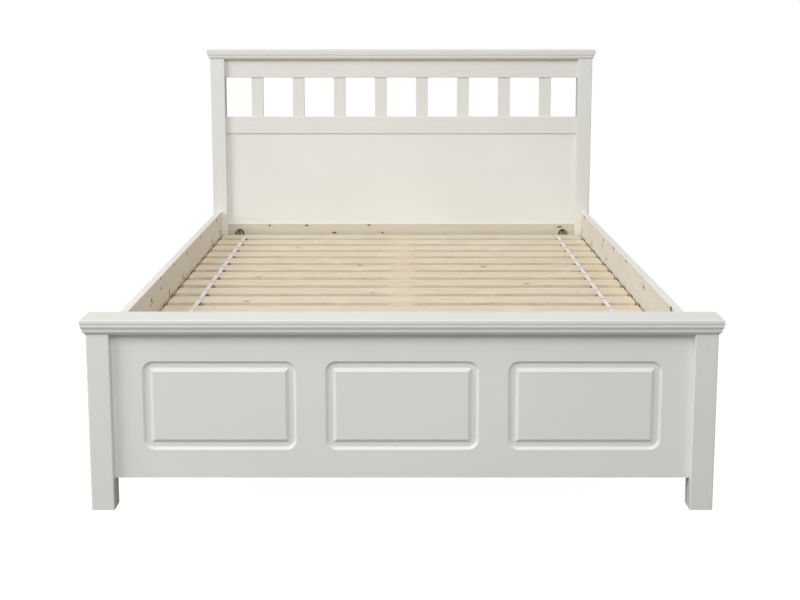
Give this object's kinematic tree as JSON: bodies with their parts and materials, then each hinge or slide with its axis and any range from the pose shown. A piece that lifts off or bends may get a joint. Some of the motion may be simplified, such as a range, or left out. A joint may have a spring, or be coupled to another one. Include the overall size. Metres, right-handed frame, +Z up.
{
  "type": "double bed",
  "caption": "Painted wooden double bed frame with a slatted headboard, a low footboard with raised fields, side rails and a lift-out base of pine slats linked by tape.",
  "frame": {"origin": "on the floor, under the middle of the bed", "axes": "+X to the right seen from the foot, +Y from the foot to the head, +Z up"},
  "size_m": [1.487, 2.14, 1.035],
  "materials": {
    "white_paint": "off-white satin lacquer on pine",
    "white_panel": "off-white satin lacquer on fibreboard",
    "bare_pine": "planed, unpainted, with knots",
    "slat_pine": "planed, unpainted, with knots",
    "zinc_steel": "zinc plated",
    "beech": "turned, fluted",
    "nylon": "moulded, matt",
    "webbing": "white woven polyester tape",
    "staple_wire": "galvanised wire"
  },
  "bodies": {
    "bed_frame": {"head_post_left": "white_paint", "head_post_right": "white_paint", "foot_post_left": "white_paint", "foot_post_right": "white_paint", "head_cap": "white_paint", "foot_cap": "white_paint", "head_upper_rail": "white_paint", "head_middle_rail": "white_paint", "head_slat_1": "white_paint", "head_slat_2": "white_paint", "head_slat_3": "white_paint", "head_slat_4": "white_paint", "head_slat_5": "white_paint", "head_slat_6": "white_paint", "head_slat_7": "white_paint", "head_slat_8": "white_paint", "side_rail_left": "white_paint", "side_rail_right": "white_paint", "head_panel": "white_panel", "foot_panel": "white_panel", "head_crossrail": "bare_pine", "foot_crossrail": "bare_pine", "ledger_left": "bare_pine", "ledger_right": "bare_pine", "centre_beam": "bare_pine", "centre_leg": "bare_pine", "beam_hangers": "zinc_steel", "joint_studs": "zinc_steel", "stud_nuts": "zinc_steel", "half_moon_washers": "zinc_steel", "ledger_screws": "zinc_steel", "hanger_screws": "zinc_steel", "joint_dowels": "beech", "glides": "nylon"},
    "slat_mat": {"bed_slat_01": "slat_pine", "bed_slat_02": "slat_pine", "bed_slat_03": "slat_pine", "bed_slat_04": "slat_pine", "bed_slat_05": "slat_pine", "bed_slat_06": "slat_pine", "bed_slat_07": "slat_pine", "bed_slat_08": "slat_pine", "bed_slat_09": "slat_pine", "bed_slat_10": "slat_pine", "bed_slat_11": "slat_pine", "bed_slat_12": "slat_pine", "bed_slat_13": "slat_pine", "bed_slat_14": "slat_pine", "bed_slat_15": "slat_pine", "bed_slat_16": "slat_pine", "tape_left": "webbing", "tape_right": "webbing", "tape_staples": "staple_wire"}
  },
  "joints": [
    {"name": "slat_mat_lift", "type": "slide", "parent": "bed_frame", "child": "slat_mat", "axis": [0, 0, 1], "range_m": [0, 0.1]}
  ]
}
